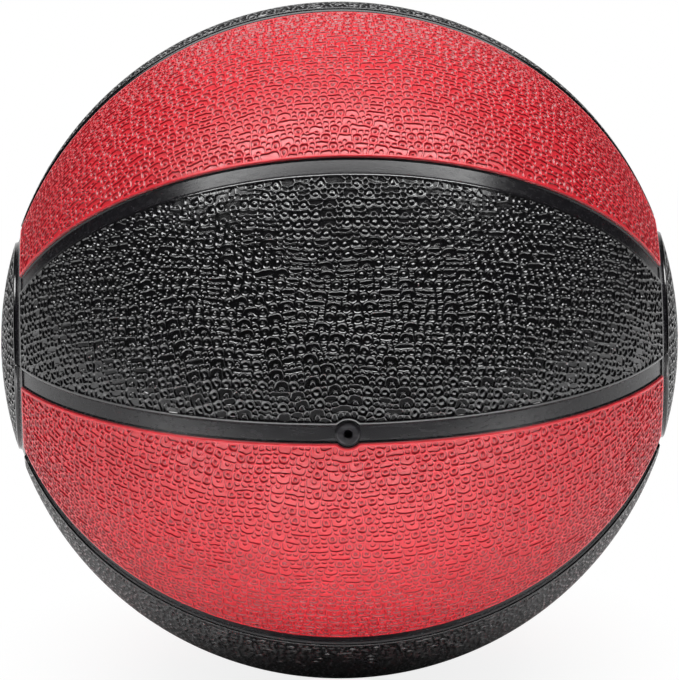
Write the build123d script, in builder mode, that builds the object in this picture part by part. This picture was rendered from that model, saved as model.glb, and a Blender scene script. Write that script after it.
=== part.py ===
"""Inflatable rubber medicine ball, as the stack of pieces that it is cured from.

Inside out: an air bladder with a needle valve bonded in it, a thick two-part rubber
carcass that gives the ball its weight, and the cover. The cover is eight gores,
alternately black and red, that run from end to end, with a round black cap over each end.
Sunken channels part the gores and ring the caps, and a moulded strip of smooth rubber
floors each channel. The valve comes out through the front channel.

The origin is the ball's centre. X runs from cap to cap, -Y points out of the valve and Z
is up. A gore or seam is placed by its turn: the angle about X, in degrees, from the
valve at 0 by way of the top at 90 to the back at 180. A point's polar angle is its angle
from the X axis, as seen from the centre. All sizes are in millimetres.
"""

import os
from math import asin, cos, degrees, radians, sin, sqrt

from build123d import *

# The ball and its layers, from the outside in
ball_diameter = 228.6
cover_thickness = 2.4
carcass_thickness = 17.8
bladder_thickness = 2.0

# The gores, the end caps and the channels between them
gore_count = 8
cap_ring_radius = 37.8  # from the X axis to the middle of the ring channel round a cap
channel_width = 6.1
channel_depth = 1.0  # from the gores' surface down to the channel's floor
cover_edge_bevel = 0.4
strip_bead_width = 0.2  # flat top of the bead along each side of a strip
strip_bead_height = 0.4  # the bead's top above the channel's floor
strip_bead_flank = 0.5  # width of the slope from that top down to the floor

# The mould's parting line, which runs along the upper side of the front channel
parting_line_width = 0.5
parting_line_depth = 0.35

# The valve
valve_head_diameter = 8.4
valve_head_drop = 0.25  # from the gores' surface down to the top of the domed head
valve_head_dome = 1.1  # rounding of the head's rim
valve_moat = 0.45  # open ring round the head, out to the cover's cut edge
valve_stem_diameter = 7.0
valve_flange_diameter = 26.0
valve_flange_thickness = 1.6  # at its rim; its outer face follows the bladder
valve_core_diameter = 4.4
valve_core_length = 15.0
valve_core_collar_diameter = 5.4
valve_core_collar_length = 3.0
valve_core_collar_height = 3.5  # from the foot of the core up to its collar
valve_air_hole_diameter = 3.0
needle_hole_diameter = 2.7
needle_hole_depth = 4.5
needle_hole_funnel = 0.4

# Radii of the spherical surfaces that the layers share
cover_top = ball_diameter / 2
cover_base = cover_top - cover_thickness
channel_floor = cover_top - channel_depth
carcass_inside = cover_base - carcass_thickness
bladder_inside = carcass_inside - bladder_thickness
clear_of_ball = ball_diameter  # a length that any cut can use to pass right through

# Angles that follow from the sizes
gore_turn = 360 / gore_count
ring_angle = degrees(asin(cap_ring_radius / cover_top))
channel_half = channel_width / 2

# A strip's section: the two sides of a bead's slope, and the height of its top
bead_side = channel_half - strip_bead_width
bead_foot = bead_side - strip_bead_flank
bead_top = sqrt(channel_floor**2 - bead_foot**2) + strip_bead_height

# Radii about the valve's axis
head_radius = valve_head_diameter / 2
stem_radius = valve_stem_diameter / 2
flange_radius = valve_flange_diameter / 2
core_radius = valve_core_diameter / 2
collar_radius = valve_core_collar_diameter / 2
moat_radius = head_radius + valve_moat

# Heights along the valve's axis, measured from the ball's centre
head_top = cover_top - valve_head_drop
core_foot = head_top - valve_core_length
flange_rim = sqrt(bladder_inside**2 - flange_radius**2)
flange_foot = flange_rim - valve_flange_thickness
collar_foot = core_foot + valve_core_collar_height
collar_top = collar_foot + valve_core_collar_length
needle_hole_foot = head_top - needle_hole_depth

centre = (0, 0, 0)
turn_axis = Axis(centre, (-1, 0, 0))
valve_axis = Axis(centre, (0, -1, 0))
valve_plane = Plane(centre, x_dir=(1, 0, 0), z_dir=(0, 0, -1))  # its Y runs out of the valve

seam_places = [
    "front",
    "front_upper",
    "top",
    "rear_upper",
    "rear",
    "rear_lower",
    "bottom",
    "front_lower",
]
gore_places = [
    "black_front",
    "red_upper_front",
    "black_upper_rear",
    "red_rear",
    "black_rear",
    "red_lower_rear",
    "black_lower_front",
    "red_front",
]
valve_seam = 0
gores_beside_valve = (0, gore_count - 1)


def outward(turn):
    """The direction away from the X axis at that turn."""
    return Vector(0, -cos(radians(turn)), sin(radians(turn)))


def sideways(turn):
    """The direction in which the turn grows."""
    return Vector(0, sin(radians(turn)), cos(radians(turn)))


def meridian_plane(turn):
    """A half-section plane: X along the ball's X, Y outward at that turn."""
    return Plane(centre, x_dir=(1, 0, 0), z_dir=Vector(1, 0, 0).cross(outward(turn)))


def polar(radius, angle):
    """A point of a meridian plane, by its distance from the centre and its polar angle."""
    return (radius * cos(radians(angle)), radius * sin(radians(angle)))


def beside_ring(radius, side):
    """The polar angle, at that radius, of a side wall of the ring channel: 1 is the gores' side."""
    return ring_angle + side * degrees(asin(channel_half / radius))


def height_on_sphere(radius, across):
    """How high a sphere of that radius stands, that far to the side of its top."""
    return sqrt(radius**2 - across**2)


def sphere_arc(radius, across_start, across_end):
    """An arc of a sphere about the centre, between two distances to the side of its top."""
    start = degrees(asin(across_start / radius))
    end = degrees(asin(across_end / radius))
    return CenterArc(centre, radius, 90 - start, start - end)


def channel_opening():
    """The section of the open space over a strip, between the slopes of its two beads.

    Its origin is the ball's centre and its Y points out through the channel.
    """
    with BuildSketch() as section:
        with BuildLine():
            sphere_arc(channel_floor, -bead_foot, bead_foot)
            Polyline(
                (bead_foot, height_on_sphere(channel_floor, bead_foot)),
                (bead_side, bead_top),
                (bead_side, clear_of_ball),
                (-bead_side, clear_of_ball),
                (-bead_side, bead_top),
                (-bead_foot, height_on_sphere(channel_floor, bead_foot)),
            )
        make_face()
    return section.sketch


def strip_section():
    """The section of a channel's strip: a slim band with a bead along each side."""
    with BuildSketch() as section:
        with BuildLine():
            sphere_arc(cover_base, -channel_half, channel_half)
            Polyline(
                (channel_half, height_on_sphere(cover_base, channel_half)),
                (channel_half, bead_top),
                (-channel_half, bead_top),
                (-channel_half, height_on_sphere(cover_base, channel_half)),
            )
        make_face()
        add(channel_opening(), mode=Mode.SUBTRACT)
    return section.sketch


def air_bladder():
    """The air-tight bladder, with a hole for the valve's stem."""
    with BuildPart() as bladder:
        Sphere(carcass_inside)
        Sphere(bladder_inside, mode=Mode.SUBTRACT)
        with BuildSketch(Plane.XZ):
            Circle(stem_radius)
        extrude(amount=clear_of_ball, mode=Mode.SUBTRACT)
    bladder.part.label = "bladder"
    return bladder


def carcass_half(name, side):
    """Half of the carcass, cut on the plane Y = 0. Side -1 is the half with the valve's hole."""
    with BuildPart() as half:
        with BuildSketch(valve_plane):
            with BuildLine():
                CenterArc(centre, cover_base, 0, -side * 90)
                CenterArc(centre, carcass_inside, 0, -side * 90)
                Line((carcass_inside, 0), (cover_base, 0))
                Line((0, -side * carcass_inside), (0, -side * cover_base))
            make_face()
        revolve(axis=valve_axis)
        if side == -1:
            with BuildSketch(Plane.XZ):
                Circle(stem_radius)
            extrude(amount=clear_of_ball, mode=Mode.SUBTRACT)
    half.part.label = name
    return half


def gore(index):
    """One gore of the cover, from ring to ring, with its outer edges bevelled."""
    start = index * gore_turn
    end = start + gore_turn
    near, far = beside_ring(cover_top, 1), beside_ring(cover_base, 1)
    with BuildPart() as panel:
        with BuildSketch(meridian_plane(start)):
            with BuildLine():
                CenterArc(centre, cover_top, near, 180 - 2 * near)
                CenterArc(centre, cover_base, far, 180 - 2 * far)
                for pole in (0, 180):
                    Line(
                        polar(cover_top, abs(pole - near)),
                        polar(cover_base, abs(pole - far)),
                    )
            make_face()
        revolve(axis=turn_axis, revolution_arc=gore_turn)
        split(
            bisect_by=Plane(sideways(start) * channel_half, z_dir=sideways(start)),
            keep=Keep.TOP,
        )
        split(
            bisect_by=Plane(sideways(end) * -channel_half, z_dir=sideways(end)),
            keep=Keep.BOTTOM,
        )
        if index in gores_beside_valve:
            with BuildSketch(Plane.XZ):
                Circle(moat_radius)
            extrude(amount=clear_of_ball, mode=Mode.SUBTRACT)
        surface = panel.faces().sort_by(SortBy.AREA)[-1]
        chamfer(surface.edges(), length=cover_edge_bevel)
    panel.part.label = "gore_" + gore_places[index]
    return panel


def parting_line_section(surface):
    """The section of the parting line in a surface of that radius, to be turned about Z."""
    with BuildSketch() as section:
        with Locations((surface - parting_line_depth, channel_half)):
            Rectangle(cover_top, parting_line_width, align=(Align.MIN, Align.CENTER))
    return section.sketch


def end_cap(name, side):
    """The round cap over one end, crossed by the parting line."""
    near, far = beside_ring(cover_top, -1), beside_ring(cover_base, -1)
    with BuildPart() as cap:
        with BuildSketch(meridian_plane(0)):
            with BuildLine():
                CenterArc(centre, cover_top, 90 - side * 90, side * near)
                CenterArc(centre, cover_base, 90 - side * 90, side * far)
                Line((side * cover_base, 0), (side * cover_top, 0))
                Line(
                    (side * polar(cover_top, near)[0], polar(cover_top, near)[1]),
                    (side * polar(cover_base, far)[0], polar(cover_base, far)[1]),
                )
            make_face()
        revolve(axis=Axis.X)
        surface = cap.faces().sort_by(SortBy.AREA)[-1]
        chamfer(surface.edges(), length=cover_edge_bevel)
        with BuildSketch(Plane.XZ):
            add(parting_line_section(cover_top))
        revolve(axis=Axis.Z, mode=Mode.SUBTRACT)
    cap.part.label = name
    return cap


def seam_strip(index):
    """The strip along one seam, from ring to ring. The valve's seam has a pad with a hole."""
    turn = index * gore_turn
    start = Vector(-cos(radians(ring_angle)), 0, 0) + outward(turn) * sin(radians(ring_angle))
    seam_axis = Axis(centre, sideways(turn))
    with BuildPart() as strip:
        with BuildSketch(Plane(centre, x_dir=sideways(turn), z_dir=sideways(turn).cross(start))):
            add(strip_section())
        revolve(axis=seam_axis, revolution_arc=180 - 2 * ring_angle)
        ring_middle = polar(channel_floor, ring_angle)
        for side in (-1, 1):
            with BuildSketch(meridian_plane(turn + 180)):
                with Locations((side * ring_middle[0], ring_middle[1])):
                    Rectangle(4 * cover_thickness, channel_width, rotation=side * ring_angle)
            revolve(axis=Axis.X, mode=Mode.SUBTRACT)
        if index == valve_seam:
            with BuildSketch(valve_plane):
                with BuildLine():
                    Line((0, cover_base), (0, channel_floor))
                    sphere_arc(channel_floor, 0, moat_radius)
                    sphere_arc(cover_base, 0, moat_radius)
                    Line(
                        (moat_radius, height_on_sphere(channel_floor, moat_radius)),
                        (moat_radius, height_on_sphere(cover_base, moat_radius)),
                    )
                make_face()
            revolve(axis=valve_axis)
            with BuildSketch(Plane.XZ):
                Circle(head_radius)
            extrude(amount=clear_of_ball, mode=Mode.SUBTRACT)
    strip.part.label = "seam_strip_" + seam_places[index]
    return strip


def ring_strip(name, side):
    """The strip round one end cap. Its outer bead is open where each seam runs in."""
    ring_middle = Vector(side * cos(radians(ring_angle)), 0, 0)
    ring_middle += outward(0) * sin(radians(ring_angle))
    with BuildPart() as strip:
        with BuildSketch(Plane(centre, x_dir=sideways(0).cross(ring_middle), z_dir=sideways(0))):
            add(strip_section())
        revolve(axis=Axis.X)
        for index in range(gore_count):
            turn = index * gore_turn
            seam_axis = Axis(centre, sideways(turn) * -side)
            start = Vector(side * cos(radians(ring_angle)), 0, 0)
            start += outward(turn) * sin(radians(ring_angle))
            with BuildSketch(Plane(centre, x_dir=sideways(turn), z_dir=sideways(turn).cross(start))):
                add(channel_opening())
            revolve(axis=seam_axis, revolution_arc=ring_angle, mode=Mode.SUBTRACT)
        with BuildSketch(Plane.XZ):
            add(parting_line_section(channel_floor))
        revolve(axis=Axis.Z, mode=Mode.SUBTRACT)
    strip.part.label = name
    return strip


def valve_core_section():
    """Half the section of the valve's core, drawn on the valve's plane."""
    with BuildSketch() as section:
        with BuildLine():
            Polyline(
                (0, core_foot),
                (core_radius, core_foot),
                (core_radius, collar_foot),
                (collar_radius, collar_foot),
                (core_radius, collar_top),
                (core_radius, head_top),
                (0, head_top),
                (0, core_foot),
            )
        make_face()
    return section.sketch


def valve_body():
    """The valve's rubber boot: flange inside the bladder, stem through the wall, domed head."""
    with BuildPart() as body:
        with BuildSketch(valve_plane):
            with BuildLine():
                Polyline(
                    (0, head_top),
                    (0, flange_foot),
                    (flange_radius, flange_foot),
                    (flange_radius, flange_rim),
                )
                sphere_arc(bladder_inside, stem_radius, flange_radius)
                Line(
                    (stem_radius, height_on_sphere(bladder_inside, stem_radius)),
                    (stem_radius, height_on_sphere(cover_base, stem_radius)),
                )
                sphere_arc(cover_base, stem_radius, head_radius)
                Polyline(
                    (head_radius, height_on_sphere(cover_base, head_radius)),
                    (head_radius, head_top),
                    (0, head_top),
                )
            make_face()
        revolve(axis=valve_axis)
        head_rim = body.edges().filter_by(GeomType.CIRCLE).sort_by(Axis.Y)[0]
        fillet(head_rim, radius=valve_head_dome)
        with BuildSketch(valve_plane):
            add(valve_core_section())
        revolve(axis=valve_axis, mode=Mode.SUBTRACT)
        with BuildSketch(Plane.XZ):
            Circle(valve_air_hole_diameter / 2)
        extrude(amount=clear_of_ball, mode=Mode.SUBTRACT)
    body.part.label = "valve_body"
    return body


def valve_core():
    """The soft plug that seals the valve, with the blind hole that guides the needle."""
    with BuildPart() as core:
        with BuildSketch(valve_plane):
            add(valve_core_section())
        revolve(axis=valve_axis)
        with BuildSketch(Plane.XZ.offset(needle_hole_foot)):
            Circle(needle_hole_diameter / 2)
        extrude(amount=needle_hole_depth, mode=Mode.SUBTRACT)
        mouth = core.edges().filter_by(GeomType.CIRCLE).group_by(Axis.Y)[0].sort_by(SortBy.LENGTH)[0]
        chamfer(mouth, length=needle_hole_funnel)
    core.part.label = "valve_core"
    return core


pieces = [
    air_bladder(),
    carcass_half("carcass_front", -1),
    carcass_half("carcass_rear", 1),
    valve_body(),
    valve_core(),
    end_cap("end_cap_left", -1),
    end_cap("end_cap_right", 1),
    ring_strip("ring_strip_left", -1),
    ring_strip("ring_strip_right", 1),
]
pieces += [gore(index) for index in range(gore_count)]
pieces += [seam_strip(index) for index in range(gore_count)]

os.makedirs("parts", exist_ok=True)
for piece in pieces:
    export_step(piece.part, f"parts/{piece.part.label}.step")
    print(piece.part.label, round(piece.part.volume / 1000, 2), "cm3")
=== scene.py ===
"""The looks of an inflatable rubber medicine ball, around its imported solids.

The gores and end caps get a moulded pebble relief: rows of sunken cells between rounded
crests, some of them with a nub. The seam strips, the ring strips, the valve and what lies
inside the ball keep their solids and get a finish.

Lengths are in metres, as in the frame. The ball's centre is the origin, X runs from end
cap to end cap, -Y points out of the valve and Z is up. A turn is an angle about X, from
the valve at 0 by way of the top at 90 degrees. A chart is a flat map of a piece, with u
along its rows of pebbles and v across them.
"""

import math
import random

import bmesh
import bpy
from mathutils import Matrix, Vector


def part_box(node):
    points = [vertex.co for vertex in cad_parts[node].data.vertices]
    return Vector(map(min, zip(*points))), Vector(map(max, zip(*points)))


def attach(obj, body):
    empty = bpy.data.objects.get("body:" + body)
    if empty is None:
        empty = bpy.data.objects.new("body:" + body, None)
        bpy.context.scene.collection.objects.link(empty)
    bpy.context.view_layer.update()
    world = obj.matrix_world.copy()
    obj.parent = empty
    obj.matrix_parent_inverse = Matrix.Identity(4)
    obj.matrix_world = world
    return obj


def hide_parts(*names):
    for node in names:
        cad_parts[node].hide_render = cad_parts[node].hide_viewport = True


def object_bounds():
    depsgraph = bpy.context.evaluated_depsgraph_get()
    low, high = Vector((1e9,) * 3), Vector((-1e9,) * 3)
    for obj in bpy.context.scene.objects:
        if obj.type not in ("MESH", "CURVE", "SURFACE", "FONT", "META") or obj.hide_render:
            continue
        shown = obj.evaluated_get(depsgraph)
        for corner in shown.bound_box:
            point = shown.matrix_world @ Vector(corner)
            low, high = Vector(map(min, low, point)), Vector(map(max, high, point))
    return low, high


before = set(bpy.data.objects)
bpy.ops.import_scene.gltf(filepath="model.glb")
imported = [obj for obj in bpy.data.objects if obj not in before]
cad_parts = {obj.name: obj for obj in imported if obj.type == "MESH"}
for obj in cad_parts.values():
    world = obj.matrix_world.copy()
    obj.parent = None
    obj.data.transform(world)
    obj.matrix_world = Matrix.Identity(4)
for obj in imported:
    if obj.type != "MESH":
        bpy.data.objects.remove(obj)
cad_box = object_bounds()

MM = 0.001
X_AXIS = Vector((1, 0, 0))
VALVE_AXIS = Vector((0, -1, 0))

# Sizes read from the frame
ball_radius = (cad_box[1].x - cad_box[0].x) / 2
cover_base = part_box("carcass_rear")[1].y
channel_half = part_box("seam_strip_top")[1].y
gore_end_angle = math.acos(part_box("gore_black_rear")[1].x / ball_radius)
cap_end_angle = math.asin(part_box("end_cap_right")[1].y / ball_radius)
ring_angle = (gore_end_angle + cap_end_angle) / 2
notch_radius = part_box("seam_strip_front")[1].z

# The gores in order of their turn, from the valve's seam by way of the top
GORES = [
    "gore_black_front",
    "gore_red_upper_front",
    "gore_black_upper_rear",
    "gore_red_rear",
    "gore_black_rear",
    "gore_red_lower_rear",
    "gore_black_lower_front",
    "gore_red_front",
]
GORE_TURN = math.tau / len(GORES)

# The edge of a cover piece, outside its pebbles
RIM_WIDTH = 0.9 * MM
EDGE_BEVEL = 0.3 * MM

# The relief: levels below the ball's surface, and widths along it
CREST_LEVEL = 0.1 * MM
FLOOR_LEVEL = 0.5 * MM
NUB_LEVEL = 0.12 * MM
CREST_WIDTH = 0.22 * MM
WALL_WIDTH = 0.16 * MM
MOAT_WIDTH = 0.58 * MM  # from the foot of a cell's wall to the foot of its nub
NUB_SLOPE = 0.3 * MM
LEAST_NUBBED_AREA = 2.6 * MM**2  # of a cell's floor
WALLED_SHARE = 0.625  # most of a cell's radius that its crest and wall take up

# Steps of the mesh along the crests
SHORTEST_EDGE = 0.48 * MM
LONGEST_EDGE = 1.25 * MM
LONGEST_NOTCH_EDGE = 1.0 * MM

# The rows of pebbles
ROW_PITCH = 3.45 * MM
ROW_WANDER = 0.4 * MM
SHAKE = 0.16 * MM
RADIUS_SPREAD = 0.07  # share of a pebble's radius
RING_RADIUS = 1.72 * MM
DOT_RADIUS = 1.0 * MM
LINK_RADIUS = 0.8 * MM
LINK_RISE = 0.95 * MM  # of a worm's links, or an arch's top, above the middle of the row
LONGEST_LEAD = 8 * MM  # how far a row may start before its piece

# An arch over a dot, and its lower links as (distance from its middle, rise, radius)
ARCH_WIDTHS = (4.5 * MM, 5.1 * MM)
ARCH_DOT_DROP = 0.7 * MM
ARCH_LEGS = ((1.85 * MM, -0.7 * MM, 0.55 * MM), (1.45 * MM, 0.65 * MM, 0.75 * MM))

# A worm over a line of dots
WORM_DOT_COUNTS = (2, 2, 3)
WORM_DOT_PITCH = 2.2 * MM
WORM_SLACK = 0.5 * MM
WORM_DOT_DROP = 0.8 * MM
WORM_BENDS = (0.05 * MM, 0.35 * MM)

# Two dots stacked between two other shapes
STACK_CHANCE = 0.5
STACK_WIDTH = 2.2 * MM
STACK_RISE = 0.9 * MM
STACK_DROP = 0.86 * MM
STACK_TILT = 0.3 * MM

# Waves that bend the rows
WAVE_COUNT = 3
WAVE_LENGTHS = (4 * MM, 9 * MM)
WAVE_HEIGHT = 0.35 * MM

# What a face of the relief is. From FIRST_CHAIN on, a number is that of a worm or an arch
PLAIN, NUBBED, FLAT = 0, 1, 2
FIRST_CHAIN = 10

# Seeds of the two sorts of gore and of the end caps
NOTCHED_GORE_SEED = 11
PLAIN_GORE_SEED = 5
END_CAP_SEED = 3


# --- Outlines of the cover pieces, as limits on the sphere


class PlaneLimit:
    """Keeps a piece at a distance in front of a plane through the ball's centre."""

    def __init__(self, normal, distance):
        self.normal, self.distance = normal.normalized(), distance

    def margin(self, p):
        return p.dot(self.normal) - self.distance

    def project(self, p, outset):
        level = self.distance - outset
        across = (p - self.normal * p.dot(self.normal)).normalized()
        return self.normal * level + across * math.sqrt(p.length_squared - level**2)


class RingLimit:
    """Keeps a piece on one side of the ring channel round a pole: 1 the gores', -1 the cap's."""

    def __init__(self, pole, side, distance):
        self.pole, self.side, self.distance = pole, side, distance

    def margin(self, p):
        return self.side * p.length * math.sin(p.angle(self.pole) - ring_angle) - self.distance

    def project(self, p, outset):
        angle = ring_angle + self.side * math.asin((self.distance - outset) / p.length)
        across = (p - self.pole * p.dot(self.pole)).normalized()
        return (self.pole * math.cos(angle) + across * math.sin(angle)) * p.length


class NotchLimit:
    """Keeps a piece outside a round notch about an axis."""

    def __init__(self, axis, radius):
        self.axis, self.radius = axis, radius

    def margin(self, p):
        if p.dot(self.axis) < 0:
            return p.length
        return (p - self.axis * p.dot(self.axis)).length - self.radius

    def project(self, p, outset):
        radius = self.radius - outset
        across = (p - self.axis * p.dot(self.axis)).normalized()
        return self.axis * math.sqrt(p.length_squared - radius**2) + across * radius


def pin(p, limits, outset=0.0):
    """The point near p that lies on all the given limits, reached in turns."""
    turns = 12 if len(limits) > 1 else 1
    for _ in range(turns):
        for limit in limits:
            p = limit.project(p, outset)
    return p


# --- Charts: from flat coordinates to a direction from the ball's centre


def gore_chart():
    """Rows run beside the great circle in the middle of the first gore."""
    turn = GORE_TURN / 2
    outward = Vector((0, -math.cos(turn), math.sin(turn)))
    sideways = Vector((0, math.sin(turn), math.cos(turn)))

    def place(u, v):
        along, across = u / ball_radius, v / ball_radius
        level = X_AXIS * math.sin(along) + outward * math.cos(along)
        return level * math.cos(across) + sideways * math.sin(across)

    return place


def cap_chart():
    """Rows run beside the parting line of the right cap."""

    def place(u, v):
        reach = math.hypot(u, v)
        if reach == 0:
            return X_AXIS
        angle = reach / ball_radius
        return X_AXIS * math.cos(angle) + Vector((0, u, v)) * (math.sin(angle) / reach)

    return place


# --- Pebbles


class PebbleRows:
    """Sites of the pebbles in a chart, as (u, v, radius, kind).

    A row is a run of round pebbles with a nub, arches over a dot, and worms over two or three
    dots, often with two dots stacked between. The links of one worm or arch share a kind.
    """

    def __init__(self, rng):
        self.rng = rng
        self.sites = []
        self.chain = FIRST_CHAIN

    def add(self, u, v, radius, kind):
        """One pebble or link, a little off its place and size."""
        u, v = u + self.rng.uniform(-SHAKE, SHAKE), v + self.rng.uniform(-SHAKE, SHAKE)
        share = self.rng.uniform(1 - RADIUS_SPREAD, 1 + RADIUS_SPREAD)
        self.sites.append((u, v, radius * share, kind))

    def add_round(self, u, level):
        self.add(u + RING_RADIUS, level, RING_RADIUS, NUBBED)
        return 2 * RING_RADIUS

    def add_arch(self, u, level):
        width = self.rng.uniform(*ARCH_WIDTHS)
        middle = u + width / 2
        self.add(middle, level - ARCH_DOT_DROP, DOT_RADIUS, PLAIN)
        for across, rise, radius in ARCH_LEGS:
            self.add(middle - across, level + rise, radius, self.chain)
            self.add(middle + across, level + rise, radius, self.chain)
        self.add(middle, level + LINK_RISE, LINK_RADIUS, self.chain)
        return width

    def add_worm(self, u, level):
        dots = self.rng.choice(WORM_DOT_COUNTS)
        links = dots + 1
        width = WORM_DOT_PITCH * dots + self.rng.uniform(0, WORM_SLACK)
        for i in range(dots):
            self.add(u + width * (i + 0.5) / dots, level - WORM_DOT_DROP, DOT_RADIUS, PLAIN)
        for i in range(links):
            rise = LINK_RISE + (-1) ** i * self.rng.uniform(*WORM_BENDS)
            self.add(u + width * (i + 0.5) / links, level + rise, LINK_RADIUS, self.chain)
        return width

    def add_stack(self, u, level):
        tilt = self.rng.uniform(-STACK_TILT, STACK_TILT)
        middle = u + STACK_WIDTH / 2
        self.add(middle + tilt, level + STACK_RISE, DOT_RADIUS, PLAIN)
        self.add(middle - tilt, level - STACK_DROP, DOT_RADIUS, PLAIN)
        return STACK_WIDTH

    def add_row(self, row, half_length):
        shapes = [self.add_round, self.add_round, self.add_arch, self.add_worm]
        u = -half_length - self.rng.uniform(0, LONGEST_LEAD)
        last = None
        while u < half_length:
            # Only a round pebble may follow its own kind
            fitting = [shape for shape in shapes if shape != last or shape == self.add_round]
            last = self.rng.choice(fitting)
            level = row + self.rng.uniform(-ROW_WANDER, ROW_WANDER)
            u += last(u, level)
            self.chain += 1
            if self.rng.random() < STACK_CHANCE:
                u += self.add_stack(u, level)

    def bent_sites(self):
        """All the sites, with their rows bent by waves."""
        waves = [
            (self.rng.uniform(*WAVE_LENGTHS), self.rng.uniform(0, math.tau))
            for _ in range(WAVE_COUNT)
        ]
        bent = []
        for u, v, radius, kind in self.sites:
            shift = sum(
                math.sin(u / length + v / (2 * length) + phase) for length, phase in waves
            )
            bent.append((u, v + shift * WAVE_HEIGHT, radius, kind))
        return bent


def pebble_sites(rng, half_length, half_width):
    """Rows of pebbles over a whole chart."""
    rows = PebbleRows(rng)
    row = -half_width
    while row < half_width:
        rows.add_row(row, half_length)
        row += ROW_PITCH
    return rows.bent_sites()


def mirrored_sites(sites, place, limits):
    """The sites inside the limits, and mirror images of those near a limit across it."""
    step = 0.1 * MM  # for the slope of a margin
    nearest = 0.8 * MM  # from a site to a limit
    reach = 2.8 * MM  # within which a site is mirrored
    least_share = 0.75  # of the radii of two sites, between a moved site and its neighbours

    def margins(u, v):
        p = place(u, v) * ball_radius
        return [limit.margin(p) for limit in limits]

    def slope(limit, u, v):
        """The way in the chart that leads straight away from the limit."""
        here = limit.margin(place(u, v) * ball_radius)
        beside = limit.margin(place(u + step, v) * ball_radius)
        above = limit.margin(place(u, v + step) * ball_radius)
        return Vector((beside - here, above - here)).normalized()

    inside = [site for site in sites if min(margins(site[0], site[1])) >= nearest]
    for u, v, radius, kind in sites:
        if -nearest < min(margins(u, v)) < nearest:
            for limit, margin in zip(limits, margins(u, v)):
                if margin < nearest:
                    way = slope(limit, u, v)
                    u, v = u + way.x * (nearest - margin), v + way.y * (nearest - margin)
            gaps = ((math.hypot(u - x, v - y), radius + r) for x, y, r, _ in inside)
            if all(gap > least_share * radii for gap, radii in gaps):
                inside.append((u, v, radius, kind))
    images = []
    for u, v, radius, kind in inside:
        for limit, margin in zip(limits, margins(u, v)):
            if margin < reach:
                way = slope(limit, u, v)
                images.append((u - 2 * margin * way.x, v - 2 * margin * way.y, radius, kind))
    return inside, images


def clipped(polygon, nx, ny, level):
    """The part of a convex polygon where nx * x + ny * y is at most level."""
    kept = []
    for i, (x, y) in enumerate(polygon):
        px, py = polygon[i - 1]
        here, before = nx * x + ny * y - level, nx * px + ny * py - level
        if (here > 0) != (before > 0):
            share = before / (before - here)
            kept.append((px + (x - px) * share, py + (y - py) * share))
        if here <= 0:
            kept.append((x, y))
    return kept


def packed_cells(sites, others):
    """A convex cell for each site: the points nearer to its circle than to any other's."""
    size = 5 * MM  # no pebble reaches further
    bins = {}
    everyone = sites + others
    for index, (u, v, _, _) in enumerate(everyone):
        bins.setdefault((int(u // size), int(v // size)), []).append(index)
    cells = []
    for index, (u, v, radius, kind) in enumerate(sites):
        near = []
        cu, cv = int(u // size), int(v // size)
        for i in (cu - 1, cu, cu + 1):
            for j in (cv - 1, cv, cv + 1):
                for other in bins.get((i, j), ()):
                    if other != index:
                        x, y, r, _ = everyone[other]
                        near.append(((x - u) ** 2 + (y - v) ** 2, x, y, r))
        near.sort()
        left, right, low, high = u - size, u + size, v - size, v + size
        cell = [(left, low), (right, low), (right, high), (left, high)]
        for _, x, y, r in near:
            level = (x * x + y * y - r * r - u * u - v * v + radius * radius) / 2
            cell = clipped(cell, x - u, y - v, level)
            if len(cell) < 3:
                break
        if len(cell) >= 3:
            cells.append((cell, kind))
    return cells


# --- The mesh of a cover piece


def only(item_type, geometry):
    """The vertices, the edges or the faces of what a bmesh operator returns."""
    return [item for item in geometry if isinstance(item, item_type)]


def boundary(edges):
    return [edge for edge in edges if edge.is_boundary]


def cell_sheet(cells):
    """A flat mesh of the cells, with worms and arches joined and short edges closed up."""
    same_point = 0.03 * MM
    bm = bmesh.new()
    kinds = bm.faces.layers.int.new("kind")
    for cell, kind in cells:
        face = bm.faces.new([bm.verts.new((x, y, 0)) for x, y in cell])
        face[kinds] = kind
    bmesh.ops.remove_doubles(bm, verts=bm.verts[:], dist=same_point)
    bmesh.ops.dissolve_degenerate(bm, edges=bm.edges[:], dist=SHORTEST_EDGE)
    within_chains = [
        edge
        for edge in bm.edges
        if len(edge.link_faces) == 2
        and edge.link_faces[0][kinds] == edge.link_faces[1][kinds] >= FIRST_CHAIN
    ]
    bmesh.ops.dissolve_edges(bm, edges=within_chains, use_verts=False)
    return bm, kinds


def wrap(bm, place, limits):
    """Wraps the flat sheet round the ball, and moves its outer edge exactly onto the limits.

    Returns the limits that each vertex of the outer edge lies on.
    """
    notch_reach = 3 * MM
    for vert in bm.verts:
        vert.co = place(vert.co.x, vert.co.y) * ball_radius
    bm.normal_update()
    for limit in limits:
        if isinstance(limit, NotchLimit):
            near_notch = [
                edge
                for edge in boundary(bm.edges)
                if abs(limit.margin(edge.verts[0].co)) < notch_reach
            ]
            split_edges(near_notch, LONGEST_NOTCH_EDGE)
    edge_verts = [vert for vert in bm.verts if vert.is_boundary]
    owner = {vert: [fitting_limit(vert.co, limits)] for vert in edge_verts}
    for i, first in enumerate(limits):
        for second in limits[:i]:
            for vert in corner_verts(edge_verts, owner, first, second):
                owner[vert] = [first, second]
    for vert in edge_verts:
        vert.co = pin(vert.co, owner[vert])
    return owner


def fitting_limit(p, limits):
    """The nearest limit to p, of those where the point nearest to p is within the others."""
    slack = 0.02 * MM
    nearest = sorted(limits, key=lambda limit: abs(limit.margin(p)))
    for limit in nearest:
        point = limit.project(p, 0.0)
        if all(other.margin(point) > -slack for other in limits if other is not limit):
            return limit
    return nearest[0]


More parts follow.
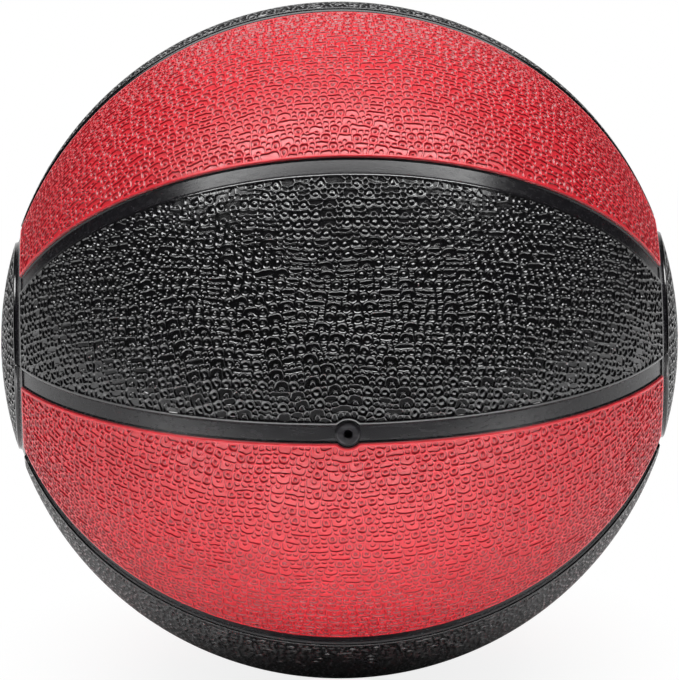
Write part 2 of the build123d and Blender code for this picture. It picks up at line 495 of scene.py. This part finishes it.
def corner_verts(edge_verts, owner, first, second):
    """The vertices of the outer edge where it passes from one limit to another."""

    def farthest(vert):
        return max(abs(first.margin(vert.co)), abs(second.margin(vert.co)))

    found = []
    for vert in edge_verts:
        if owner[vert] != [first]:
            continue
        for edge in vert.link_edges:
            other = edge.other_vert(vert)
            if edge.is_boundary and owner[other] == [second]:
                found.append(vert if farthest(vert) < farthest(other) else other)
    return found


def split_edges(edges, longest):
    """Adds points in the edges longer than this."""
    for edge in [edge for edge in edges if edge.calc_length() > longest]:
        pieces = max(2, round(edge.calc_length() / longest))
        start, end = edge.verts
        for i in range(pieces - 1):
            edge, start = bmesh.utils.edge_split(edge, start, 1 / (pieces - i))
            edge = next(e for e in start.link_edges if e.other_vert(start) == end)


def add_rim(bm, kinds, owner):
    """Grows the sheet outwards by a plain rim and down to the carcass. Returns the last edges."""
    outer = [edge for edge in bm.edges if edge.is_boundary and edge.verts[0] in owner]
    steps = [
        (RIM_WIDTH - EDGE_BEVEL, ball_radius),
        (RIM_WIDTH, ball_radius - EDGE_BEVEL),
        (RIM_WIDTH, cover_base),
    ]
    for outset, radius in steps:
        grown = bmesh.ops.extrude_edge_only(bm, edges=outer)["geom"]
        outer = boundary(only(bmesh.types.BMEdge, grown))
        for face in only(bmesh.types.BMFace, grown):
            face[kinds] = FLAT
        inside = set(owner)
        for vert in only(bmesh.types.BMVert, grown):
            neighbours = (edge.other_vert(vert) for edge in vert.link_edges)
            owner[vert] = owner[next(other for other in neighbours if other in inside)]
            vert.co = pin(vert.co.normalized() * radius, owner[vert], outset)
    return outer


def add_step(bm, faces, widths, radius, soften):
    """Insets each face by its own width, at a new radius, and draws its corners in."""
    sharpest = 0.7  # keeps a sharp corner from running far in
    bmesh.ops.inset_individual(bm, faces=faces, thickness=0, depth=0)
    for face in faces:
        corners = [vert.co.copy() for vert in face.verts]
        count = len(corners)
        axis = face.calc_center_median().normalized()
        moved = []
        for i, corner in enumerate(corners):
            ahead = axis.cross(corners[(i + 1) % count] - corner).normalized()
            behind = axis.cross(corner - corners[i - 1]).normalized()
            inward = (ahead + behind).normalized()
            moved.append(corner + inward * widths[face] / max(inward.dot(ahead), sharpest))
        for i, vert in enumerate(face.verts):
            middle = (moved[i - 1] + moved[(i + 1) % count]) / 2
            vert.co = moved[i].lerp(middle, soften).normalized() * radius


def relax_crests(bm, kinds, cells):
    """Rounds off the lines between the cells, and puts them back on the ball."""
    rounds, factor = 3, 0.35
    inner = {
        vert
        for face in cells
        for vert in face.verts
        if all(beside[kinds] != FLAT for beside in vert.link_faces)
    }
    for _ in range(rounds):
        bmesh.ops.smooth_vert(
            bm,
            verts=list(inner),
            factor=factor,
            use_axis_x=True,
            use_axis_y=True,
            use_axis_z=True,
        )
    for vert in inner:
        vert.co = vert.co.normalized() * ball_radius


def sink_pebbles(bm, kinds):
    """Sinks each cell between rounded crests, and raises the nubs from the round ones."""
    cells = [face for face in bm.faces if face[kinds] != FLAT]
    # Each edge once, in a fixed order
    split_edges(dict.fromkeys(edge for face in cells for edge in face.edges), LONGEST_EDGE)
    relax_crests(bm, kinds, cells)
    # A narrow cell gets narrower steps
    room = {}
    for face in cells:
        radius = 2 * face.calc_area() / face.calc_perimeter()
        room[face] = min(1, WALLED_SHARE * radius / (CREST_WIDTH + WALL_WIDTH))

    def widths(faces, width):
        return {face: width * room[face] for face in faces}

    low = ball_radius - FLOOR_LEVEL
    add_step(bm, cells, widths(cells, CREST_WIDTH), ball_radius - CREST_LEVEL, soften=0.4)
    add_step(bm, cells, widths(cells, WALL_WIDTH), low, soften=0.3)
    nubbed = [
        face
        for face in cells
        if face[kinds] == NUBBED and face.calc_area() > LEAST_NUBBED_AREA
    ]
    for face in bm.faces:
        face.smooth = True
    for face in cells:
        face.smooth = face in nubbed
    add_step(bm, nubbed, widths(nubbed, MOAT_WIDTH), low, soften=0.5)
    add_step(bm, nubbed, widths(nubbed, NUB_SLOPE), ball_radius - NUB_LEVEL, soften=0.4)


def cover_piece(seed, place, limits, half_length, half_width):
    """A closed pebbled piece of the cover."""
    same_point = 0.02 * MM
    sites = pebble_sites(random.Random(seed), half_length, half_width)
    inside, images = mirrored_sites(sites, place, limits)
    bm, kinds = cell_sheet(packed_cells(inside, images))
    owner = wrap(bm, place, limits)
    front = bm.verts[:] + bm.edges[:] + bm.faces[:]
    back = bmesh.ops.duplicate(bm, geom=front)["geom"]
    back_faces = only(bmesh.types.BMFace, back)
    back_edges = boundary(only(bmesh.types.BMEdge, back))
    for vert in only(bmesh.types.BMVert, back):
        vert.co = vert.co.normalized() * cover_base
    bmesh.ops.reverse_faces(bm, faces=back_faces)
    bottom = add_rim(bm, kinds, owner)
    back_faces += bmesh.ops.bridge_loops(bm, edges=bottom + back_edges)["faces"]
    for face in back_faces:
        face[kinds] = FLAT
    sink_pebbles(bm, kinds)
    bmesh.ops.remove_doubles(bm, verts=bm.verts[:], dist=same_point)
    return bm


def gore_limits(notch):
    """The limits of the first gore's pebbles, which end at its rim."""
    inset = channel_half + RIM_WIDTH
    limits = [
        PlaneLimit(Vector((0, 0, 1)), inset),
        PlaneLimit(Vector((0, -math.sin(GORE_TURN), -math.cos(GORE_TURN))), inset),
        RingLimit(X_AXIS, 1, inset),
        RingLimit(-X_AXIS, 1, inset),
    ]
    if notch:
        limits.append(NotchLimit(VALVE_AXIS, notch_radius + RIM_WIDTH))
    return limits


def finish_piece(bm, name, material, node):
    """Makes an object of the mesh, which stands for the CAD node."""
    mesh = bpy.data.meshes.new(name)
    bm.to_mesh(mesh)
    bm.free()
    mesh.materials.append(material)
    piece = bpy.data.objects.new(name, mesh)
    bpy.context.scene.collection.objects.link(piece)
    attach(piece, "root")
    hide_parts(node)


def mirror_mesh(bm, factors):
    """Mirrors a mesh, and turns its faces the right way out again."""
    bmesh.ops.scale(bm, vec=factors, verts=bm.verts[:])
    bmesh.ops.reverse_faces(bm, faces=bm.faces[:])


def build_gores(black, red):
    """All the gores, as turned copies of one with the valve's notch and one without."""
    length = ball_radius * (math.pi / 2 - ring_angle)
    width = ball_radius * GORE_TURN / 2
    place = gore_chart()
    notched = cover_piece(NOTCHED_GORE_SEED, place, gore_limits(notch=True), length, width)
    plain = cover_piece(PLAIN_GORE_SEED, place, gore_limits(notch=False), length, width)
    last = len(GORES) - 1
    for index, node in enumerate(GORES):
        beside_valve = index in (0, last)
        bm = (notched if beside_valve else plain).copy()
        if index == last:
            mirror_mesh(bm, (1, 1, -1))
        elif index:
            turned = Matrix.Rotation(-index * GORE_TURN, 3, "X")
            bmesh.ops.rotate(bm, cent=(0, 0, 0), matrix=turned, verts=bm.verts[:])
        is_red = "_red_" in node
        finish_piece(
            bm,
            node.replace("gore_", "pebbled_gore_"),
            red if is_red else black,
            node,
        )
    notched.free()
    plain.free()


def build_caps(black):
    """The two end caps, which mirror each other."""
    inset = channel_half + RIM_WIDTH
    limits = [RingLimit(X_AXIS, -1, inset)]
    reach = ball_radius * ring_angle
    right = cover_piece(END_CAP_SEED, cap_chart(), limits, reach, reach)
    left = right.copy()
    mirror_mesh(left, (-1, 1, 1))
    finish_piece(right, "pebbled_end_cap_right", black, "end_cap_right")
    finish_piece(left, "pebbled_end_cap_left", black, "end_cap_left")


# --- Shader nodes


def new_material(name):
    """A new material, its node tree and its shader."""
    material = bpy.data.materials.new(name)
    material.use_nodes = True
    return material, material.node_tree, material.node_tree.nodes["Principled BSDF"]


def add_place(tree):
    """Where a point lies from the ball's centre."""
    return tree.nodes.new("ShaderNodeTexCoord").outputs["Object"]


def add_vector_math(tree, operation, vector):
    node = tree.nodes.new("ShaderNodeVectorMath")
    node.operation = operation
    tree.links.new(vector, node.inputs[0])
    return node.outputs["Value" if operation == "LENGTH" else "Vector"]


def add_part(tree, vector, axis):
    """A vector's part along one axis."""
    split = tree.nodes.new("ShaderNodeSeparateXYZ")
    tree.links.new(vector, split.inputs[0])
    return split.outputs[axis]


def add_math(tree, operation, first, second=None):
    node = tree.nodes.new("ShaderNodeMath")
    node.operation = operation
    for socket, value in zip(node.inputs, (first, second)):
        if isinstance(value, (int, float)):
            socket.default_value = value
        elif value is not None:
            tree.links.new(value, socket)
    return node.outputs["Value"]


def add_range(tree, value, start, end, to_start=0.0, to_end=1.0):
    """Maps start to to_start and end to to_end, and stays between them."""
    mapped = tree.nodes.new("ShaderNodeMapRange")
    sockets = ("From Min", "From Max", "To Min", "To Max")
    for socket, number in zip(sockets, (start, end, to_start, to_end)):
        mapped.inputs[socket].default_value = number
    tree.links.new(value, mapped.inputs["Value"])
    return mapped.outputs["Result"]


def add_noise(tree, vector, scale, detail):
    noise = tree.nodes.new("ShaderNodeTexNoise")
    noise.inputs["Scale"].default_value = scale
    noise.inputs["Detail"].default_value = detail
    tree.links.new(vector, noise.inputs["Vector"])
    return noise.outputs["Fac"]


def add_tones(tree, value, tones):
    """A ramp through the tones, given as (position, colour)."""
    ramp = tree.nodes.new("ShaderNodeValToRGB")
    stops = ramp.color_ramp.elements
    stops[0].position, stops[1].position = tones[0][0], tones[-1][0]
    stops[0].color, stops[1].color = (*tones[0][1], 1), (*tones[-1][1], 1)
    for position, colour in tones[1:-1]:
        stops.new(position).color = (*colour, 1)
    tree.links.new(value, ramp.inputs["Fac"])
    return ramp.outputs["Color"]


def add_product(tree, first, second):
    """Multiplies two colours."""
    mix = tree.nodes.new("ShaderNodeMix")
    mix.data_type = "RGBA"
    mix.blend_type = "MULTIPLY"
    mix.inputs["Factor"].default_value = 1.0
    tree.links.new(first, mix.inputs["A"])
    tree.links.new(second, mix.inputs["B"])
    return mix.outputs["Result"]


def add_bumps(tree, shader, bumps):
    """Chains bumps, given as (height, strength, depth), into the shader's normal."""
    normal = None
    for height, strength, depth in bumps:
        bump = tree.nodes.new("ShaderNodeBump")
        bump.inputs["Strength"].default_value = strength
        bump.inputs["Distance"].default_value = depth
        tree.links.new(height, bump.inputs["Height"])
        if normal is not None:
            tree.links.new(normal, bump.inputs["Normal"])
        normal = bump.outputs["Normal"]
    tree.links.new(normal, shader.inputs["Normal"])


def vary_roughness(tree, shader, noise, lowest, highest):
    """Takes the roughness from a noise."""
    start, end = 0.3, 0.7  # most of a noise lies between these
    tree.links.new(add_range(tree, noise, start, end, lowest, highest), shader.inputs["Roughness"])


# --- Finishes


def pebbled_rubber(name, colours, roughness, specular, parting_line=False):
    """Moulded rubber with painted shade on the walls of its relief, cloudy wear and a fine grain.

    The colours are those of the rubber, of the painted shade on its walls, and of the wear, which
    tints both.
    """
    colour, painted_shade_colour, worn_tint = colours
    material, tree, shader = new_material(name)
    shader.inputs["Specular IOR Level"].default_value = specular
    place = add_place(tree)
    height = add_vector_math(tree, "LENGTH", place)
    depth = add_range(tree, height, ball_radius, ball_radius - FLOOR_LEVEL)
    # Crests and floors have the one colour, and the walls between them a darker one that is
    # painted shade in the recesses
    tones = [(0.12, colour), (0.35, painted_shade_colour), (0.8, painted_shade_colour), (0.97, colour)]
    moulded = add_tones(tree, depth, tones)
    clouds = add_noise(tree, place, scale=45, detail=4)
    worn = add_tones(tree, clouds, [(0.35, (1.0, 1.0, 1.0)), (0.7, worn_tint)])
    tree.links.new(add_product(tree, moulded, worn), shader.inputs["Base Color"])
    polish = add_noise(tree, place, scale=400, detail=3)
    vary_roughness(tree, shader, polish, roughness - 0.04, roughness + 0.06)
    bumps = [
        (add_noise(tree, place, scale=700, detail=1), 0.2, 0.09 * MM),
        (add_noise(tree, place, scale=3200, detail=2), 0.25, 0.02 * MM),
    ]
    if parting_line:
        bumps.append((parting_groove(tree, place), 1.0, 0.35 * MM))
    add_bumps(tree, shader, bumps)
    return material


def parting_groove(tree, place):
    """The height of the groove that the mould's parting line leaves across the caps."""
    foot, edge = 0.1 * MM, 0.4 * MM  # from the middle of the groove
    above = add_math(tree, "SUBTRACT", add_part(tree, place, "Z"), channel_half)
    return add_range(tree, add_math(tree, "ABSOLUTE", above), foot, edge)


def smooth_rubber(name, colour, scuff_colour, roughness, specular, swirl=0.0):
    """Smooth moulded rubber with scuffs, flow lines along the ball's axis and a fine grain."""
    material, tree, shader = new_material(name)
    shader.inputs["Specular IOR Level"].default_value = specular
    place = add_place(tree)
    stretch = tree.nodes.new("ShaderNodeMapping")
    stretch.inputs["Scale"].default_value = (0.05, 1, 1)
    tree.links.new(place, stretch.inputs["Vector"])
    drawn_out = stretch.outputs["Vector"]
    scuffs = add_noise(tree, drawn_out, scale=700, detail=4)
    scuffed = add_tones(tree, scuffs, [(0.45, colour), (0.75, scuff_colour)])
    tree.links.new(scuffed, shader.inputs["Base Color"])
    vary_roughness(tree, shader, scuffs, roughness - 0.04, roughness + 0.05)
    bumps = [
        (add_noise(tree, drawn_out, scale=1500, detail=2), 0.3, 0.03 * MM),
        (add_noise(tree, place, scale=3000, detail=2), 0.25, 0.02 * MM),
    ]
    if swirl:
        bumps.append((add_noise(tree, place, scale=900, detail=4), swirl, 0.12 * MM))
    add_bumps(tree, shader, bumps)
    return material


def wound_carcass(name):
    """Rubber-soaked cord, wound round the bladder."""
    material, tree, shader = new_material(name)
    shader.inputs["Roughness"].default_value = 0.7
    cord = tree.nodes.new("ShaderNodeTexWave")
    cord.inputs["Scale"].default_value = 250
    cord.inputs["Distortion"].default_value = 3
    tree.links.new(add_place(tree), cord.inputs["Vector"])
    tones = [(0.2, (0.03, 0.028, 0.026)), (0.8, (0.09, 0.08, 0.07))]
    tree.links.new(add_tones(tree, cord.outputs["Fac"], tones), shader.inputs["Base Color"])
    add_bumps(tree, shader, [(cord.outputs["Fac"], 0.6, 0.3 * MM)])
    return material


def dress_solids():
    """Gives the solids that stay in sight, and those inside the ball, their finishes."""
    strips = smooth_rubber(
        "satin seam rubber", (0.008, 0.0074, 0.0092), (0.014, 0.013, 0.0155), 0.25, 0.42
    )
    valve = smooth_rubber(
        "soft valve rubber", (0.013, 0.012, 0.015), (0.05, 0.048, 0.052), 0.34, 0.26, swirl=0.9
    )
    bladder = smooth_rubber(
        "butyl bladder rubber", (0.012, 0.012, 0.013), (0.03, 0.03, 0.03), 0.5, 0.4
    )
    carcass = wound_carcass("wound cord and rubber")
    finishes = {"valve": valve, "bladder": bladder, "carcass": carcass}
    for node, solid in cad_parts.items():
        if solid.type == "MESH":
            finish = finishes.get(node.split("_")[0], strips)
            for slot in solid.material_slots:
                slot.material = finish


# Each as the colours of the rubber, the painted shade on its walls, and its wear
RED = ((0.73, 0.022, 0.036), (0.24, 0.003, 0.01), (0.94, 0.8, 0.85))
BLACK = ((0.0045, 0.004, 0.0052), (0.002, 0.0018, 0.0024), (0.7, 0.7, 0.7))

black_cover = pebbled_rubber("pebbled black rubber", BLACK, 0.16, 1.0)
black_cap = pebbled_rubber("pebbled black cap rubber", BLACK, 0.16, 1.0, parting_line=True)
red_cover = pebbled_rubber("pebbled red rubber", RED, 0.32, 0.65)
build_gores(black_cover, red_cover)
build_caps(black_cap)
dress_solids()


# --- Camera


def add_camera():
    """A long lens, a little above the ball, with the ball's outline nearly filling the frame."""
    distance = 18 * ball_radius
    azimuth, elevation, roll = math.radians(-1.2), math.radians(15.4), math.radians(0.7)
    outline_share = 0.9954  # of the frame's width
    data = bpy.data.cameras.new("camera")
    data.sensor_width = 36
    tangent = ball_radius / math.sqrt(distance**2 - ball_radius**2)
    data.lens = data.sensor_width / 2 * outline_share / tangent
    data.clip_end = 50
    camera = bpy.data.objects.new("camera", data)
    bpy.context.scene.collection.objects.link(camera)
    away = Vector(
        (
            math.sin(azimuth) * math.cos(elevation),
            -math.cos(azimuth) * math.cos(elevation),
            math.sin(elevation),
        )
    )
    camera.location = away * distance
    facing = (-away).to_track_quat("-Z", "Y").to_matrix() @ Matrix.Rotation(-roll, 3, "Z")
    camera.rotation_euler = facing.to_euler()
    bpy.context.scene.camera = camera


# --- Floor, backdrop and light

# The white background is mirrored only straight behind the ball, so that black rubber stays
# black at the sides. Both numbers are the Y part of a direction of length 1
MIRROR_START, MIRROR_FULL = 0.8, 0.97


def white_share(tree, path, seen, mirrored):
    """How white the background is: one share as seen, another in reflections and through glass."""
    glossy, through = path.outputs["Is Glossy Ray"], path.outputs["Is Transmission Ray"]
    bent = add_math(tree, "MULTIPLY", add_math(tree, "MAXIMUM", glossy, through), mirrored)
    direct = add_math(tree, "MULTIPLY", path.outputs["Is Camera Ray"], seen)
    return add_math(tree, "MAXIMUM", direct, bent)


def floor_material():
    """White round the ball and grey further forward, as painted shade for the unlit front of the
    room, and almost pure white to the camera.
    """
    white, grey = (0.95, 0.95, 0.95), (0.22, 0.22, 0.22)
    white_until, grey_from = -0.27, -0.45  # along Y, before the ball
    foot_white = 0.84  # share of pure white at the ball's foot, where its shadow is
    foot_reach, shadow_reach = 0.115, 0.17  # from the ball's centre
    material, tree, shader = new_material("floor white")
    shader.inputs["Roughness"].default_value = 0.9
    place = add_place(tree)
    forward = add_range(tree, add_part(tree, place, "Y"), white_until, grey_from)
    # The grey forward part is painted shade, which darkens what the front of the ball takes up and
    # mirrors
    tones = add_tones(tree, forward, [(0.0, white), (1.0, grey)])
    tree.links.new(tones, shader.inputs["Base Color"])
    away = add_vector_math(tree, "LENGTH", place)
    seen = add_range(tree, away, foot_reach, shadow_reach, foot_white, 1.0)
    back = add_part(tree, add_vector_math(tree, "NORMALIZE", place), "Y")
    mirrored = add_range(tree, back, MIRROR_START, MIRROR_FULL)
    path = tree.nodes.new("ShaderNodeLightPath")
    pure_white = tree.nodes.new("ShaderNodeEmission")
    blend = tree.nodes.new("ShaderNodeMixShader")
    tree.links.new(white_share(tree, path, seen, mirrored), blend.inputs[0])
    tree.links.new(shader.outputs[0], blend.inputs[1])
    tree.links.new(pure_white.outputs[0], blend.inputs[2])
    tree.links.new(blend.outputs[0], tree.nodes["Material Output"].inputs["Surface"])
    return material


def add_floor():
    """A large white floor that keeps the ball's soft shadow."""
    half_width = 6
    gap = 0.05 * MM
    bm = bmesh.new()
    bmesh.ops.create_grid(bm, x_segments=8, y_segments=8, size=half_width)
    bmesh.ops.translate(bm, vec=(0, 0, cad_box[0].z - gap), verts=bm.verts[:])
    mesh = bpy.data.meshes.new("floor")
    bm.to_mesh(mesh)
    bm.free()
    mesh.materials.append(floor_material())
    floor = bpy.data.objects.new("floor", mesh)
    bpy.context.scene.collection.objects.link(floor)


def add_world():
    """A white backdrop, and soft light from behind that only matt surfaces take up."""
    soft_start, soft_full = -0.1, 0.8  # Y parts of a direction of length 1
    dimmest_soft, brightest_soft = 0.05, 0.95
    least_light = 0.03
    world = bpy.data.worlds.new("studio")
    bpy.context.scene.world = world
    world.use_nodes = True
    tree = world.node_tree
    background = tree.nodes["Background"]
    background.inputs["Color"].default_value = (1, 1, 1, 1)
    direction = tree.nodes.new("ShaderNodeTexCoord").outputs["Generated"]
    back = add_part(tree, direction, "Y")
    path = tree.nodes.new("ShaderNodeLightPath")
    soft = add_range(tree, back, soft_start, soft_full, dimmest_soft, brightest_soft)
    matt = add_math(tree, "SUBTRACT", 1.0, path.outputs["Is Glossy Ray"])
    lit = add_math(tree, "MAXIMUM", add_math(tree, "MULTIPLY", soft, matt), least_light)
    mirrored = add_range(tree, back, MIRROR_START, MIRROR_FULL)
    level = tree.nodes.new("ShaderNodeMix")
    tree.links.new(white_share(tree, path, 1.0, mirrored), level.inputs["Factor"])
    tree.links.new(lit, level.inputs["A"])
    level.inputs["B"].default_value = 1.0
    tree.links.new(level.outputs["Result"], background.inputs["Strength"])


def add_lamp(name, size, power):
    """A rectangular lamp, which shines straight down until it is turned."""
    data = bpy.data.lights.new(name, "AREA")
    data.shape = "RECTANGLE"
    data.size, data.size_y = size
    data.energy = power
    lamp = bpy.data.objects.new(name, data)
    bpy.context.scene.collection.objects.link(lamp)
    return lamp


def add_overhead_softbox():
    """A wide softbox over the ball and a little before it, facing the ball's centre."""
    distance = 1.2
    toward = Vector((0, -0.09, 1)).normalized()
    lamp = add_lamp("overhead softbox", size=(2.1, 0.42), power=24.5)
    lamp.location = toward * distance
    lamp.rotation_euler = toward.to_track_quat("Z", "Y").to_euler()


def add_floor_wash():
    """A narrow low lamp that brightens the floor just before the ball."""
    lamp = add_lamp("floor wash", size=(0.9, 0.12), power=1.75)
    lamp.data.spread = math.radians(50)
    lamp.location = (0, -0.3, 0.22)


add_camera()
add_floor()
add_world()
add_overhead_softbox()
add_floor_wash()
bpy.context.scene.view_settings.view_transform = "Standard"
